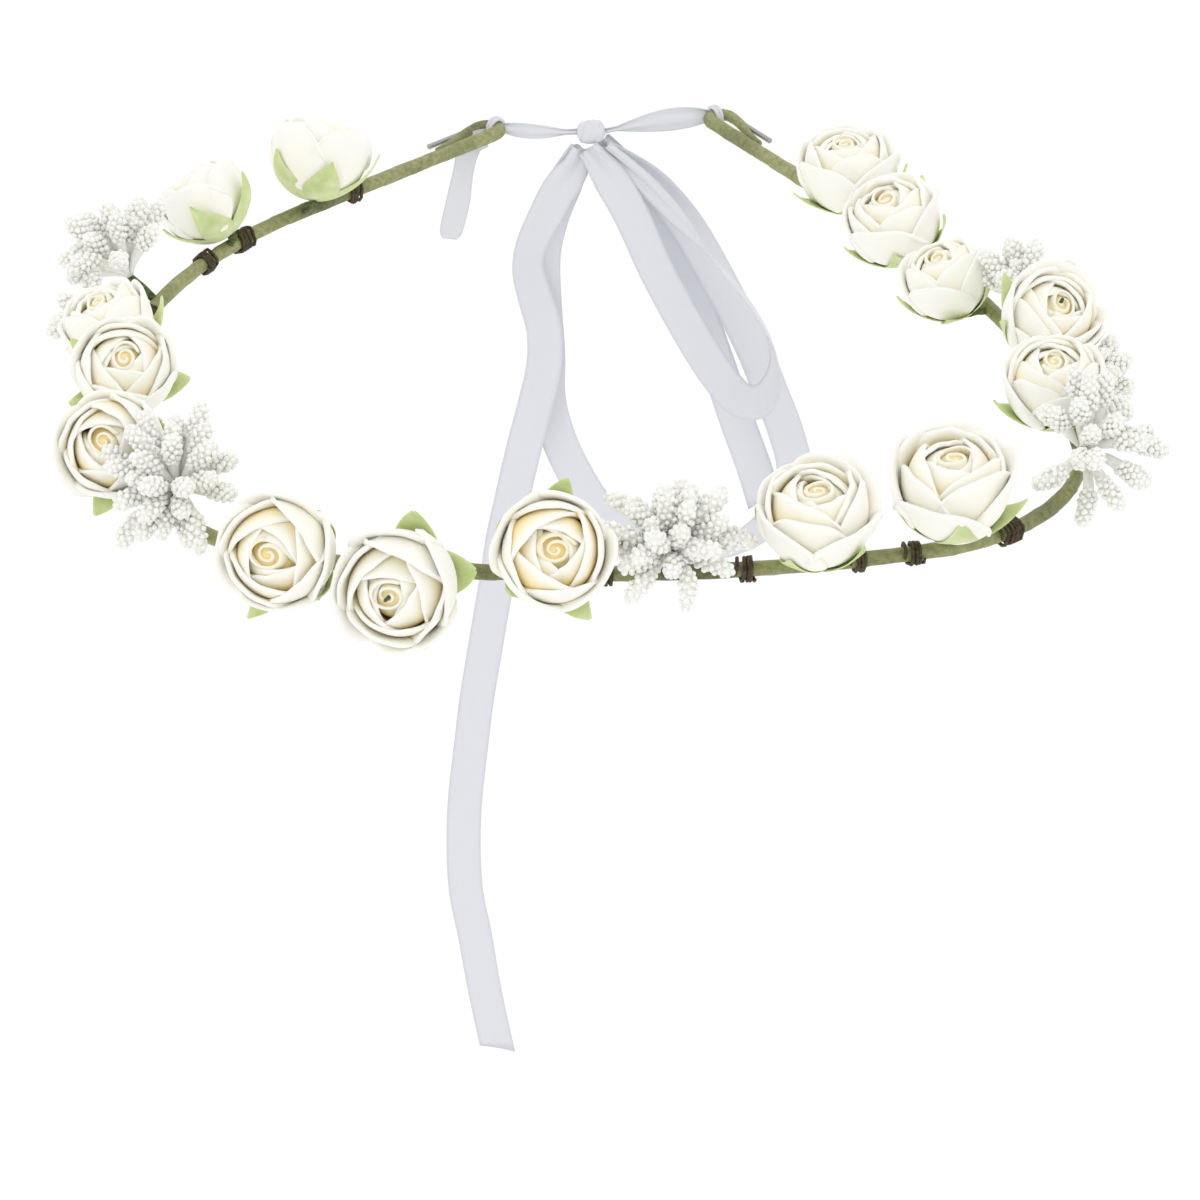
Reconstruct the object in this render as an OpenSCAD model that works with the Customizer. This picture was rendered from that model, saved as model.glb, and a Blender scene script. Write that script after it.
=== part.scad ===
/* [Hoop] */
// Diameter of the band over its green tape
band_d = 3; // [3:0.2:4]
// Diameter of the steel wire inside the tape
wire_d = 1.2; // [0.8:0.1:1.6]
// Distance from the middle of the hoop to its front
hoop_front = 88; // [84:1:92]
// Bend radius of the eye at each end
eye_r = 2.6; // [2.4:0.1:3]
// Length of the wire that is folded back behind each eye
fold_back = 15; // [12:1:18]

/* [Roses] */
// Size of every foam rose against its listed diameter
rose_scale = 1; // [0.9:0.05:1]
// Thickness of the petal foam
foam_t = 1.5; // [1.2:0.1:1.8]
// Thickness of the paper calyx
paper_t = 0.5; // [0.4:0.1:0.6]
// Diameter of a rose's own stem wire
stem_d = 1.4; // [1:0.1:1.6]

/* [Stamens] */
// Diameter of the bead head on a stamen
head_d = 3; // [2.4:0.2:3.4]
// Diameter of a stamen's thread
thread_d = 0.9; // [0.7:0.1:1.1]

/* [Ribbon] */
// Thickness of the ribbon
ribbon_t = 0.6; // [0.4:0.1:0.8]
// Radius of the knot
knot_r = 3.6; // [3.2:0.1:3.8]

/* [Binding] */
// Diameter of the binding wire
binding_d = 0.8; // [0.6:0.1:0.9]
// Turns of binding wire at each place
binding_turns = 4; // [3:1:5]

/* [Hidden] */
// Bends from the front round each side, as radius and angle, and the straight arm after them
left_bends = [[260, 12], [45, 53], [114, 71]];
left_arm = 56;
right_bends = [[240, 16], [43, 78], [190, 29]];
right_arm = 74;

// Roses: run along the hoop from the front (left is negative), offset outwards and up,
// lean outwards, lean along the hoop, diameter
roses = [
    [-236, -4, 3, 17, 26, 20.5],
    [-213, -1.5, 2.5, 41, -4, 19],
    [-152, -2, 2, 20, -8, 19],
    [-136, -2.5, 3.5, 0, -39, 20],
    [-107, 1, 4, 38, -41, 21],
    [-55, 3.5, 4.5, 67, 5, 22],
    [-32, 5, 2.5, 77, 9, 23],
    [-8, 3.5, 6, 58, -7, 22],
    [43, 2, 2.5, 17, -3, 22],
    [70, 1.5, 4, 12, -5, 23],
    [133, -4, 1.5, -4, -17, 20],
    [162, -2, 4.5, 15, -35, 20],
    [187, -6.5, 0, -23, 3, 18],
    [212, -6.5, 2, -20, 0, 20],
    [235, -5, 3.5, -7, 1, 20]
];
// Roses whose stems stand free enough to be bent to and fro
bendable = [1, 6, 7, 8, 9, 10];

// Stamen tufts: run along the hoop, offset outwards and up, lean outwards, lean along the hoop,
// length, half angle of the fan, number of stamens
tufts = [
    [-184, 6, 5, 26, -6, 17, 26, 9],
    [-167, 4, 2, 82, 0, 13, 22, 6],
    [-86, -1, 6, 38, -17, 17, 44, 14],
    [15, 3, 6, 30, 4, 17, 48, 15],
    [114, 0, 5, 40, -30, 17, 48, 14],
    [149, 5, 2, 78, -8, 11, 20, 5],
    [176, 1, 5, 25, 8, 14, 26, 7]
];

// Places along the hoop where a stem is bound on
bindings = [-251, -218, -205, -176, -64, -40, 2, 30, 52, 63, 84];

// Knot between the two eyes
knot = [0, 113, 0];

// Ribbon routes: x, y, z, width, turn about the route
tail_upper_route = [
    [-1.6, 111.4, -3.9, 3, 0], [-3.5, 111, -8, 4, 0], [-7, 110.5, -13, 6, 0], [-10, 110, -19, 7, 10],
    [-13, 110, -26, 8, 25], [-14, 110, -32, 8, 35], [-12.5, 110, -39, 8, 25], [-10.5, 110, -47, 8, 10],
    [-10.5, 110, -56, 8, 0], [-12.5, 110.5, -66, 8, 0], [-15.5, 111, -79, 8, 0], [-18, 111.5, -91, 8, 0],
    [-20, 112, -101, 8, 0], [-21.2, 112, -109.5, 8, 0]
];
tail_lower_route = [
    [-21.3, 112, -110.5, 8, 0], [-22.5, 112.5, -118, 8, 0], [-24.5, 113, -131, 8, 0],
    [-26.5, 113, -144, 8, 0], [-28, 113, -157, 8, 0], [-29.5, 112.5, -171, 8, 0],
    [-30, 112, -184, 8, 0], [-29.5, 111.5, -196, 8, 0], [-27.5, 111, -208, 8, 0],
    [-25.5, 110.5, -222, 8, 0], [-22.5, 110, -239, 8, 0]
];
big_loop_route = [
    [-2, 113.2, -3.9, 3, 0], [-5.5, 113.6, -12, 5, 0], [-9, 114.4, -22, 7, 0], [-10.8, 115, -32, 8, 0],
    [-10.5, 115, -44, 8, 0], [-9.8, 115, -56, 8, 0], [-9.8, 115, -66, 8, 0], [-8, 114.5, -75, 8, 0],
    [-4.5, 114, -84, 8, 5], [0.5, 113.5, -93, 8, 20], [7, 113, -100, 8, 45], [15, 112.5, -104.5, 8, 70],
    [24, 112.5, -105.5, 8, 85], [33, 112.5, -103, 8, 75], [40, 113, -98, 8, 55], [44.5, 113.5, -91, 8, 30],
    [46, 114, -84, 8, 10], [44, 114, -75, 8, 0], [40.5, 114, -65, 8, 0], [36, 114, -53, 8, 0],
    [28.5, 113.8, -37, 8, 0], [20.5, 113.5, -22, 7, 0], [12, 113.3, -11.5, 5, 0], [2.2, 113.2, -3.9, 3, 0]
];
small_loop_route = [
    [-0.8, 109.9, -2.8, 2.6, 0], [4, 108.6, -9, 5, 0], [9, 107.6, -18, 8, 0], [14.5, 107, -31, 8, 0],
    [21.5, 106.6, -45, 8, 0], [28, 105.8, -56, 8, 10], [33.5, 104.5, -62, 8, 30], [38.5, 103, -61, 8, 55],
    [41, 102, -54, 8, 75], [39.5, 101.6, -45, 8, 80], [34.5, 102, -36, 8, 80], [27.5, 103.4, -27.5, 7, 75],
    [19, 106, -18, 5, 50], [10, 108.5, -9, 3, 20], [2.8, 109.9, -2.8, 2, 0]
];
short_tail_route = [
    [2, 115.2, -3.4, 3, 0], [6.5, 115.7, -9, 4, 0], [11.5, 115.8, -17, 6, 0], [18, 116.2, -31, 8, 0],
    [24, 116.8, -46, 8, 0], [29, 117.4, -61, 8, 0], [33, 117.8, -74, 8, 0], [37, 118, -86, 8, 0],
    [39.5, 118, -95, 8, 0]
];

// Gap left under everything that bends on its own
play = 0.4;
glue_gap = 0.3;
calyx_seat = paper_t + glue_gap + 0.35;

rose_ids = [for (i = [1:len(roses)]) i];
fixed_ids = [for (i = rose_ids) if (len(search(i, bendable)) == 0) i];
ROSE_NODES = [for (i = rose_ids) str("rose_", i)];
CALYX_NODES = [for (i = rose_ids) str("calyx_", i)];
STEM_NODES = [for (i = bendable) str("stem_", i)];
TUFT_NODES = [for (i = [1:len(tufts)]) str("stamens_", i)];

$fn = 32;
// Longest single stretch of a bend of the hoop, and the cut between two stretches
bend_step = 18;
cut_gap = 0.02;

// Point and heading after a run of s along bends that follow one another, then a straight arm
function run_along(bends, s, p = [0, 0], h = 0, i = 0) =
    i == len(bends) ? [p + s * [cos(h), sin(h)], h]
    : let (
        r = bends[i][0],
        a = min(bends[i][1], s / r * 180 / PI),
        q = p + r * [sin(h + a) - sin(h), cos(h) - cos(h + a)]
    )
    a < bends[i][1] ? [q, h + a] : run_along(bends, s - r * a * PI / 180, q, h + a, i + 1);

function bends_length(bends) = PI / 180 * [for (b = bends) b[0] * b[1]] * [for (b = bends) 1];

left_length = bends_length(left_bends) + left_arm;
right_length = bends_length(right_bends) + right_arm;

// Stands the children on the hoop at a run s: X along the hoop, Y inwards, Z up
module on_hoop(s) {
    place = run_along(s < 0 ? left_bends : right_bends, abs(s), [0, -hoop_front]);
    mirror([s < 0 ? 1 : 0, 0, 0])
        translate([place[0][0], place[0][1], 0]) rotate([0, 0, place[1]]) children();
}

// Stands the children on the hoop with the offsets and leans of one row of a list
module planted(row) {
    on_hoop(row[0]) translate([0, -row[1], row[2]]) rotate([row[3], 0, 0]) rotate([0, row[4], 0])
        children();
}

// Round bar of diameter d along bends that follow one another, then a straight arm and an eye,
// with its folded end longer by spare. Hair-thin cuts part the stretches of one radius.
module bent_bar(bends, arm, d, spare, i = 0) {
    if (i < len(bends)) {
        r = bends[i][0];
        a = bends[i][1];
        stretches = ceil(a / bend_step);
        cut = cut_gap / r * 180 / PI;
        translate([0, r, 0]) for (k = [0:stretches - 1]) rotate([0, 0, a * k / stretches - 90])
            rotate_extrude(angle = a / stretches - cut) translate([r, 0]) circle(d = d);
        translate([r * sin(a), r * (1 - cos(a)), 0]) rotate([0, 0, a]) bent_bar(bends, arm, d, spare, i + 1);
    } else {
        rotate([0, 90, 0]) cylinder(d = d, h = arm - cut_gap);
        translate([arm, -eye_r, 0]) rotate([0, 0, -90])
            rotate_extrude(angle = 180) translate([eye_r, 0]) circle(d = d);
        translate([arm - fold_back - spare, -2 * eye_r, 0]) rotate([0, 90, 0])
            cylinder(d = d, h = fold_back + spare - cut_gap);
    }
}

module hoop_bar(d, spare = 0) {
    translate([0, -hoop_front, 0]) {
        translate([cut_gap, 0, 0]) bent_bar(right_bends, right_arm, d, spare);
        mirror([1, 0, 0]) bent_bar(left_bends, left_arm, d, spare);
    }
}

module wire_hoop() {
    color("silver") hoop_bar(wire_d);
}

module tape_wrap() {
    color("darkolivegreen") difference() {
        hoop_bar(band_d);
        hoop_bar(wire_d + 0.02, 1);
    }
}

module binding_wires() {
    ring_r = band_d / 2 + binding_d / 2 + 0.02;
    pitch = binding_d + 0.1;
    color("saddlebrown") for (s = bindings) on_hoop(s) for (k = [0:binding_turns - 1])
        translate([(k - (binding_turns - 1) / 2) * pitch, 0, 0]) rotate([0, 90, 0])
            rotate_extrude() translate([ring_r, 0]) circle(d = binding_d, $fn = 16);
}

// Half outline of a cup of foam petals, open at the top
module petal_cup(r, rim) {
    difference() {
        circle(r = r);
        circle(r = r - foam_t);
        translate([-2 * r, rim]) square(4 * r);
        translate([-2 * r, -r]) square([2 * r, 4 * r]);
    }
}

// Two cups of wound petals round a bud, with its foot at the origin
module rose(d) {
    r = d / 2;
    translate([0, 0, r + calyx_seat]) rotate_extrude() {
        petal_cup(r, 0.5 * r);
        petal_cup(0.72 * r, 0.6 * r);
        translate([0, 0.1 - r]) square([0.24 * r, 0.9 * r]);
        intersection() {
            circle(r = 0.42 * r);
            translate([0, -r]) square(2 * r);
        }
    }
}

module rose_node(i) {
    row = roses[i - 1];
    color("ivory") planted(row) rose(row[5] * rose_scale);
}

// Paper star of five sepals pressed against the underside of a rose
module calyx(d) {
    r = d / 2;
    translate([0, 0, r + calyx_seat]) intersection() {
        difference() {
            sphere(r = r + glue_gap + paper_t);
            sphere(r = r + glue_gap);
        }
        translate([0, 0, -r - calyx_seat]) linear_extrude(0.7 * r) for (k = [0:4])
            rotate(72 * k) polygon([[0, 0], [0.34 * r, -0.3 * r], [0.98 * r, 0], [0.34 * r, 0.3 * r]]);
    }
}

module calyx_node(i) {
    row = roses[i - 1];
    color("yellowgreen") planted(row) calyx(row[5] * rose_scale);
}

// Straight stem from the band to the foot of a row's calyx, clear of the band by gap
module stem(row, gap) {
    reach = norm([row[1], row[2]]);
    start = band_d / 2 + gap;
    foot_gap = 0.8;
    on_hoop(row[0]) rotate([atan2(row[1], row[2]), 0, 0]) translate([0, 0, start])
        cylinder(d = stem_d, h = reach - start - foot_gap);
}

module stem_node(i) {
    color("olivedrab") stem(roses[i - 1], play);
}

module fixed_stems() {
    color("olivedrab") for (i = fixed_ids) stem(roses[i - 1], 0.02);
}

// Thread that stands on the foot and widens into a round knob of beads
module stamen(start, size) {
    head_r = head_d / 2;
    neck = size * 0.62;
    rotate_extrude() {
        translate([0, start]) square([thread_d / 2, size - head_r - start]);
        polygon([[0, neck], [thread_d / 2, neck], [head_r, size - head_r], [0, size - head_r]]);
        intersection() {
            translate([0, size - head_r]) circle(r = head_r);
            translate([0, size - head_r]) square(head_r);
        }
    }
}

// Bunch of stamens fanned out evenly from one foot
module stamens(size, spread, count) {
    turn = 137.5;
    foot = 2.8;
    sphere(r = foot);
    for (k = [0:count - 1])
        rotate([0, 0, turn * k]) rotate([0, spread * sqrt((k + 0.5) / count), 0])
            stamen(foot + 0.05, size);
}

module stamens_node(i) {
    row = tufts[i - 1];
    color("white") {
        planted(row) stamens(row[5], row[6], row[7]);
        stem(row, 0.02);
    }
}

// Flat ribbon swept along a route, one rectangle of its width and thickness at each point
function heading_at(route, k) =
    let (
        a = route[max(k - 1, 0)],
        b = route[min(k + 1, len(route) - 1)],
        v = [b[0] - a[0], b[1] - a[1], b[2] - a[2]]
    ) v / norm(v);
function ribbon_ring(route, k) =
    let (
        p = [route[k][0], route[k][1], route[k][2]],
        t = heading_at(route, k),
        side = cross(t, [0, 1, 0]),
        across = side / norm(side),
        face = cross(across, t),
        a = route[k][4],
        w = route[k][3] / 2 * (cos(a) * across + sin(a) * face),
        n = ribbon_t / 2 * (cos(a) * face - sin(a) * across)
    ) [p + w + n, p - w + n, p - w - n, p + w - n];

module ribbon(route) {
    last = len(route) - 1;
    points = [for (k = [0:last]) each ribbon_ring(route, k)];
    walls = [for (k = [0:last - 1]) for (j = [0:3]) let (a = 4 * k + j, b = 4 * k + (j + 1) % 4)
        each [[a, a + 4, b + 4], [a, b + 4, b]]];
    first_end = [[0, 1, 2], [0, 2, 3]];
    last_end = [for (f = [[2, 1, 0], [3, 2, 0]]) [for (j = f) 4 * last + j]];
    color("whitesmoke") polyhedron(points, concat(walls, first_end, last_end));
}

module ribbon_knot() {
    half = 3.2;
    round_r = 1.6;
    color("white") translate(knot) rotate([0, 90, 0]) rotate_extrude() {
        translate([0, -half]) square([knot_r - round_r, 2 * half]);
        translate([0, round_r - half]) square([knot_r, 2 * (half - round_r)]);
        for (side = [-1, 1]) translate([knot_r - round_r, side * (half - round_r)]) circle(r = round_r);
    }
}

// Middle of the far bend of an eye and the way the bar runs there: side is -1 on the left
function eye_tip(side) =
    let (
        end = run_along(side < 0 ? left_bends : right_bends, side < 0 ? left_length : right_length,
                        [0, -hoop_front]),
        h = end[1],
        tip = end[0] + eye_r * [sin(h) + cos(h), sin(h) - cos(h)]
    ) [side * tip[0], tip[1], side * (h - 90)];

// Loop of ribbon through an eye, and the flat stretch from it to the knot
module ribbon_span(side, tall) {
    tip = eye_tip(side);
    loop_r = band_d / 2 + 0.46;
    color("white") translate([tip[0], tip[1], 0]) rotate([0, 90, tip[2]])
        rotate_extrude() translate([loop_r, 0]) circle(r = 0.4, $fn = 16);
    near = [tip[0] - side * (loop_r + 0.2) * 0.6, tip[1] + (loop_r + 0.2) * 0.8];
    far = [knot[0] + side * 3.3, knot[1]];
    gap = far - near;
    color("white") translate([near[0], near[1], 0]) rotate([0, 0, atan2(gap[1], gap[0])])
        rotate([90, 0, 0]) linear_extrude(ribbon_t, center = true)
            polygon([[0, -0.6], [norm(gap) * 0.35, -tall / 2], [norm(gap), -1.4],
                     [norm(gap), 1.4], [norm(gap) * 0.35, tall / 2], [0, 0.6]]);
}

module ribbon_left_span() {
    ribbon_span(-1, 4);
}

module ribbon_right_span() {
    ribbon_span(1, 6);
}

// Short free end that hangs from the left eye
module ribbon_left_end() {
    tip = eye_tip(-1);
    route = [
        [tip[0] - 6.5, tip[1] - 4, -2.6, 3, 0], [tip[0] - 7, tip[1] - 4.5, -8, 3.6, 0],
        [tip[0] - 8.4, tip[1] - 4.8, -16, 4.4, 0], [tip[0] - 10, tip[1] - 5, -24, 4, 0],
        [tip[0] - 10.2, tip[1] - 5, -25.5, 2.6, 0]
    ];
    ribbon(route);
}

wire_hoop();
tape_wrap();
binding_wires();
fixed_stems();
for (i = rose_ids) rose_node(i);
for (i = rose_ids) calyx_node(i);
for (i = bendable) stem_node(i);
for (i = [1:len(tufts)]) stamens_node(i);
ribbon_knot();
ribbon_left_span();
ribbon_right_span();
ribbon_left_end();
ribbon(small_loop_route);  // small_loop
ribbon(big_loop_route);  // big_loop
ribbon(short_tail_route);  // short_tail
ribbon(tail_upper_route);  // tail_upper
ribbon(tail_lower_route);  // tail_lower
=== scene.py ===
import math
import random
import bpy
import bmesh
from mathutils import Matrix, Vector


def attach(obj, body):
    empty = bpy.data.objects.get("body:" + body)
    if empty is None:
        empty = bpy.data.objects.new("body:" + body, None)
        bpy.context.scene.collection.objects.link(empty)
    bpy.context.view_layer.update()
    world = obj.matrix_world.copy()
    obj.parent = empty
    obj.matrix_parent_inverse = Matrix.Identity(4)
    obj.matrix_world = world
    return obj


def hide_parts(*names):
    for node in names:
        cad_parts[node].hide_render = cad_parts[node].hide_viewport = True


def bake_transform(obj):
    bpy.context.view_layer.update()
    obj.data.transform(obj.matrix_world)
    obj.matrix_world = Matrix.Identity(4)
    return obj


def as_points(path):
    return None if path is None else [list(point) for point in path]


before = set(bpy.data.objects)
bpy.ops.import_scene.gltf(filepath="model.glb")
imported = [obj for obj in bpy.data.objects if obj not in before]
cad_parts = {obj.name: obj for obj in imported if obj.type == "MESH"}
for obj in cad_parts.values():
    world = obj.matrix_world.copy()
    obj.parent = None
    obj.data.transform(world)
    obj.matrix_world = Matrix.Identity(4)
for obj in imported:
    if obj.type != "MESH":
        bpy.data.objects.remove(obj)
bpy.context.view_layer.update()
scene = bpy.context.scene
scene.view_settings.view_transform = "Standard"
mm = 0.001
golden = math.radians(137.5)


def srgb(code):
    parts = [int(code[i:i + 2], 16) / 255 for i in (1, 3, 5)]
    return [p / 12.92 if p <= 0.04045 else ((p + 0.055) / 1.055) ** 2.4 for p in parts] + [1.0]


def addNode(tree, kind, values=None, links=None, **settings):
    node = tree.nodes.new(kind)
    for key, value in settings.items():
        setattr(node, key, value)
    for key, value in (values or {}).items():
        node.inputs[key].default_value = value
    for key, source in (links or {}).items():
        tree.links.new(source, node.inputs[key])
    return node


def setRamp(node, stops):
    ramp = node.color_ramp
    while len(ramp.elements) < len(stops):
        ramp.elements.new(0.5)
    for element, (place, colour) in zip(ramp.elements, stops):
        element.position = place
        element.color = colour


def newMaterial(name):
    material = bpy.data.materials.new(name)
    material.use_nodes = True
    tree = material.node_tree
    return material, tree, tree.nodes["Principled BSDF"]


def finishPiece(name, bm, materials, body, stands=(), recalc=True):
    if recalc:
        bmesh.ops.recalc_face_normals(bm, faces=bm.faces[:])
    mesh = bpy.data.meshes.new(name)
    bm.to_mesh(mesh)
    bm.free()
    for polygon in mesh.polygons:
        polygon.use_smooth = True
    for material in materials:
        mesh.materials.append(material)
    piece = bpy.data.objects.new(name, mesh)
    scene.collection.objects.link(piece)
    if body:
        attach(piece, body)
    if stands:
        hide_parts(*stands)
    return piece


def thicken(piece, thickness, offset, levels):
    solid = piece.modifiers.new("thickness", "SOLIDIFY")
    solid.thickness = thickness
    solid.offset = offset
    if levels:
        soft = piece.modifiers.new("softness", "SUBSURF")
        soft.levels = levels
        soft.render_levels = levels


def bentSheet(bm, across, along, place, materialIndex=0):
    made = bmesh.ops.create_grid(bm, x_segments=across, y_segments=along, size=0.5, calc_uvs=True)
    spots = [(v.co.x + 0.5, v.co.y + 0.5) for v in made["verts"]]
    for vertex, (u, v) in zip(made["verts"], spots):
        vertex.co = place(u, v)
    for face in {f for v in made["verts"] for f in v.link_faces}:
        face.material_index = materialIndex
    return list(zip(made["verts"], spots))


# A round tube along points, with its own radius at each of them
def tube(bm, points, radii, sides, materialIndex=0, capped=True):
    up = Vector((0.13, 0.21, 1)).normalized()
    rings = []
    for k, point in enumerate(points):
        ahead = (points[min(k + 1, len(points) - 1)] - points[max(k - 1, 0)]).normalized()
        side = ahead.cross(up)
        if side.length < 0.05:
            side = ahead.cross(Vector((1, 0, 0)))
        side.normalize()
        over = side.cross(ahead)
        up = over
        ring = []
        for j in range(sides):
            turn = 2 * math.pi * j / sides
            ring.append(bm.verts.new(point + radii[k] * (math.cos(turn) * side + math.sin(turn) * over)))
        rings.append(ring)
    edgeRings = []
    for ring in rings:
        edgeRings.append([bm.edges.new((ring[j], ring[(j + 1) % sides])) for j in range(sides)])
    faces = []
    for first, second in zip(edgeRings, edgeRings[1:]):
        faces += bmesh.ops.bridge_loops(bm, edges=first + second)["faces"]
    if capped:
        faces += [bm.faces.new(rings[0][::-1]), bm.faces.new(rings[-1])]
    for face in faces:
        face.material_index = materialIndex
    return rings


view = {"place": (0.002, -1.1138, 0.5675), "pitch": 29.197, "lens": 183.75, "sensor": 36}

camera = bpy.data.objects.new("camera", bpy.data.cameras.new("camera"))
camera.data.lens = view["lens"]
camera.data.sensor_width = view["sensor"]
camera.data.clip_start = 0.05
camera.data.clip_end = 20
camera.location = view["place"]
camera.rotation_euler = (math.radians(90 - view["pitch"]), 0, 0)
scene.collection.objects.link(camera)
scene.camera = camera
print("camera set")


# EVA foam sheet, heat-shaped: dull velvety ivory that lets a little light in, with painted shade: cream
# painted into the folds
def makeFoam():
    # rim and side are the foam's own ivory; the fold colour is painted shade for the folds
    foam = {"rim": "#FBFAF4", "side": "#FBF7E6", "fold": "#FBE6A8", "cell": 0.35 * mm}
    material, tree, shader = newMaterial("evaFoamIvory")
    foldShadeMask = addNode(tree, "ShaderNodeAttribute", attribute_name="fold")
    coords = addNode(tree, "ShaderNodeTexCoord")
    mottle = addNode(tree, "ShaderNodeTexNoise", {"Scale": 160.0, "Detail": 3.0, "Roughness": 0.55},
                     {"Vector": coords.outputs["Object"]})
    wander = addNode(tree, "ShaderNodeMath", {1: 0.5}, {0: mottle.outputs["Fac"]}, operation="SUBTRACT")
    spread = addNode(tree, "ShaderNodeMath", {1: 0.16}, {0: wander.outputs[0]}, operation="MULTIPLY")
    # painted shade from the fold mask, plus a random mottle in the foam's own tone
    shade = addNode(tree, "ShaderNodeMath", None, {0: foldShadeMask.outputs["Fac"], 1: spread.outputs[0]},
                    operation="ADD", use_clamp=True)
    tint = addNode(tree, "ShaderNodeValToRGB", None, {"Fac": shade.outputs[0]})
    setRamp(tint, [(0.0, srgb(foam["rim"])), (0.3, srgb(foam["side"])), (0.95, srgb(foam["fold"]))])
    cells = addNode(tree, "ShaderNodeTexVoronoi", {"Scale": 1 / foam["cell"]},
                    {"Vector": coords.outputs["Object"]})
    bump = addNode(tree, "ShaderNodeBump", {"Strength": 0.16, "Distance": 0.06 * mm},
                   {"Height": cells.outputs["Distance"]})
    tree.links.new(tint.outputs["Color"], shader.inputs["Base Color"])
    tree.links.new(bump.outputs["Normal"], shader.inputs["Normal"])
    shader.inputs["Roughness"].default_value = 0.78
    shader.inputs["IOR"].default_value = 1.48
    shader.inputs["Subsurface Weight"].default_value = 0.12
    shader.inputs["Subsurface Radius"].default_value = (1.0, 1.0, 0.9)
    shader.inputs["Subsurface Scale"].default_value = 0.8 * mm
    shader.inputs["Sheen Weight"].default_value = 0.15
    shader.inputs["Sheen Roughness"].default_value = 0.5
    return material


# Crepe paper, die-cut: flat light green with fine ridges that run out to the tip
def makeCalyxPaper():
    paper = {"light": "#DDE4B6", "deep": "#BDCD88"}
    material, tree, shader = newMaterial("crepePaperGreen")
    sheet = addNode(tree, "ShaderNodeUVMap", uv_map="UVMap")
    coords = addNode(tree, "ShaderNodeTexCoord")
    stretch = addNode(tree, "ShaderNodeMapping", {"Scale": (26.0, 1.2, 1.0)},
                      {"Vector": sheet.outputs["UV"]})
    ridges = addNode(tree, "ShaderNodeTexNoise", {"Scale": 1.0, "Detail": 2.0},
                     {"Vector": stretch.outputs["Vector"]})
    blotch = addNode(tree, "ShaderNodeTexNoise", {"Scale": 240.0, "Detail": 3.0},
                     {"Vector": coords.outputs["Object"]})
    both = addNode(tree, "ShaderNodeMath", None, {0: ridges.outputs["Fac"], 1: blotch.outputs["Fac"]},
                   operation="MULTIPLY")
    tint = addNode(tree, "ShaderNodeValToRGB", None, {"Fac": both.outputs[0]})
    setRamp(tint, [(0.12, srgb(paper["deep"])), (0.36, srgb(paper["light"]))])
    bump = addNode(tree, "ShaderNodeBump", {"Strength": 0.5, "Distance": 0.12 * mm},
                   {"Height": ridges.outputs["Fac"]})
    tree.links.new(tint.outputs["Color"], shader.inputs["Base Color"])
    tree.links.new(bump.outputs["Normal"], shader.inputs["Normal"])
    shader.inputs["Roughness"].default_value = 0.82
    shader.inputs["Subsurface Weight"].default_value = 0.25
    shader.inputs["Subsurface Radius"].default_value = (0.6, 1.0, 0.3)
    shader.inputs["Subsurface Scale"].default_value = 0.6 * mm
    return material


# Waxed floral tape, stretched and wound: olive green with darker streaks and patches, dull to satin
def makeFloralTape():
    tape = {"light": "#C2C394", "mid": "#8F9160", "dark": "#3A3B1E"}
    material, tree, shader = newMaterial("floralTapeOlive")
    sheet = addNode(tree, "ShaderNodeUVMap", uv_map="UVMap")
    coords = addNode(tree, "ShaderNodeTexCoord")
    stretch = addNode(tree, "ShaderNodeMapping", {"Scale": (1.6, 15.0, 1.0)},
                      {"Vector": sheet.outputs["UV"]})
    streaks = addNode(tree, "ShaderNodeTexNoise", {"Scale": 1.0, "Detail": 4.0, "Roughness": 0.6},
                      {"Vector": stretch.outputs["Vector"]})
    wrinkles = addNode(tree, "ShaderNodeTexNoise", {"Scale": 900.0, "Detail": 3.0, "Distortion": 0.6},
                       {"Vector": coords.outputs["Object"]})
    both = addNode(tree, "ShaderNodeMix", {"Factor": 0.25},
                   {"A": streaks.outputs["Fac"], "B": wrinkles.outputs["Fac"]}, data_type="FLOAT")
    patches = addNode(tree, "ShaderNodeTexNoise", {"Scale": 36.0, "Detail": 1.0},
                      {"Vector": coords.outputs["Object"]})
    darkening = addNode(tree, "ShaderNodeMapRange",
                        {"From Min": 0.35, "From Max": 0.6, "To Min": 0.76, "To Max": 1.04},
                        {"Value": patches.outputs["Fac"]})
    shade = addNode(tree, "ShaderNodeMath", None, {0: both.outputs[0], 1: darkening.outputs["Result"]},
                    operation="MULTIPLY")
    tint = addNode(tree, "ShaderNodeValToRGB", None, {"Fac": shade.outputs[0]})
    setRamp(tint, [(0.33, srgb(tape["dark"])), (0.5, srgb(tape["mid"])), (0.66, srgb(tape["light"]))])
    bump = addNode(tree, "ShaderNodeBump", {"Strength": 0.6, "Distance": 0.2 * mm},
                   {"Height": both.outputs[0]})
    gloss = addNode(tree, "ShaderNodeMapRange", {"To Min": 0.42, "To Max": 0.7},
                    {"Value": wrinkles.outputs["Fac"]})
    tree.links.new(tint.outputs["Color"], shader.inputs["Base Color"])
    tree.links.new(gloss.outputs["Result"], shader.inputs["Roughness"])
    tree.links.new(bump.outputs["Normal"], shader.inputs["Normal"])
    return material


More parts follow.
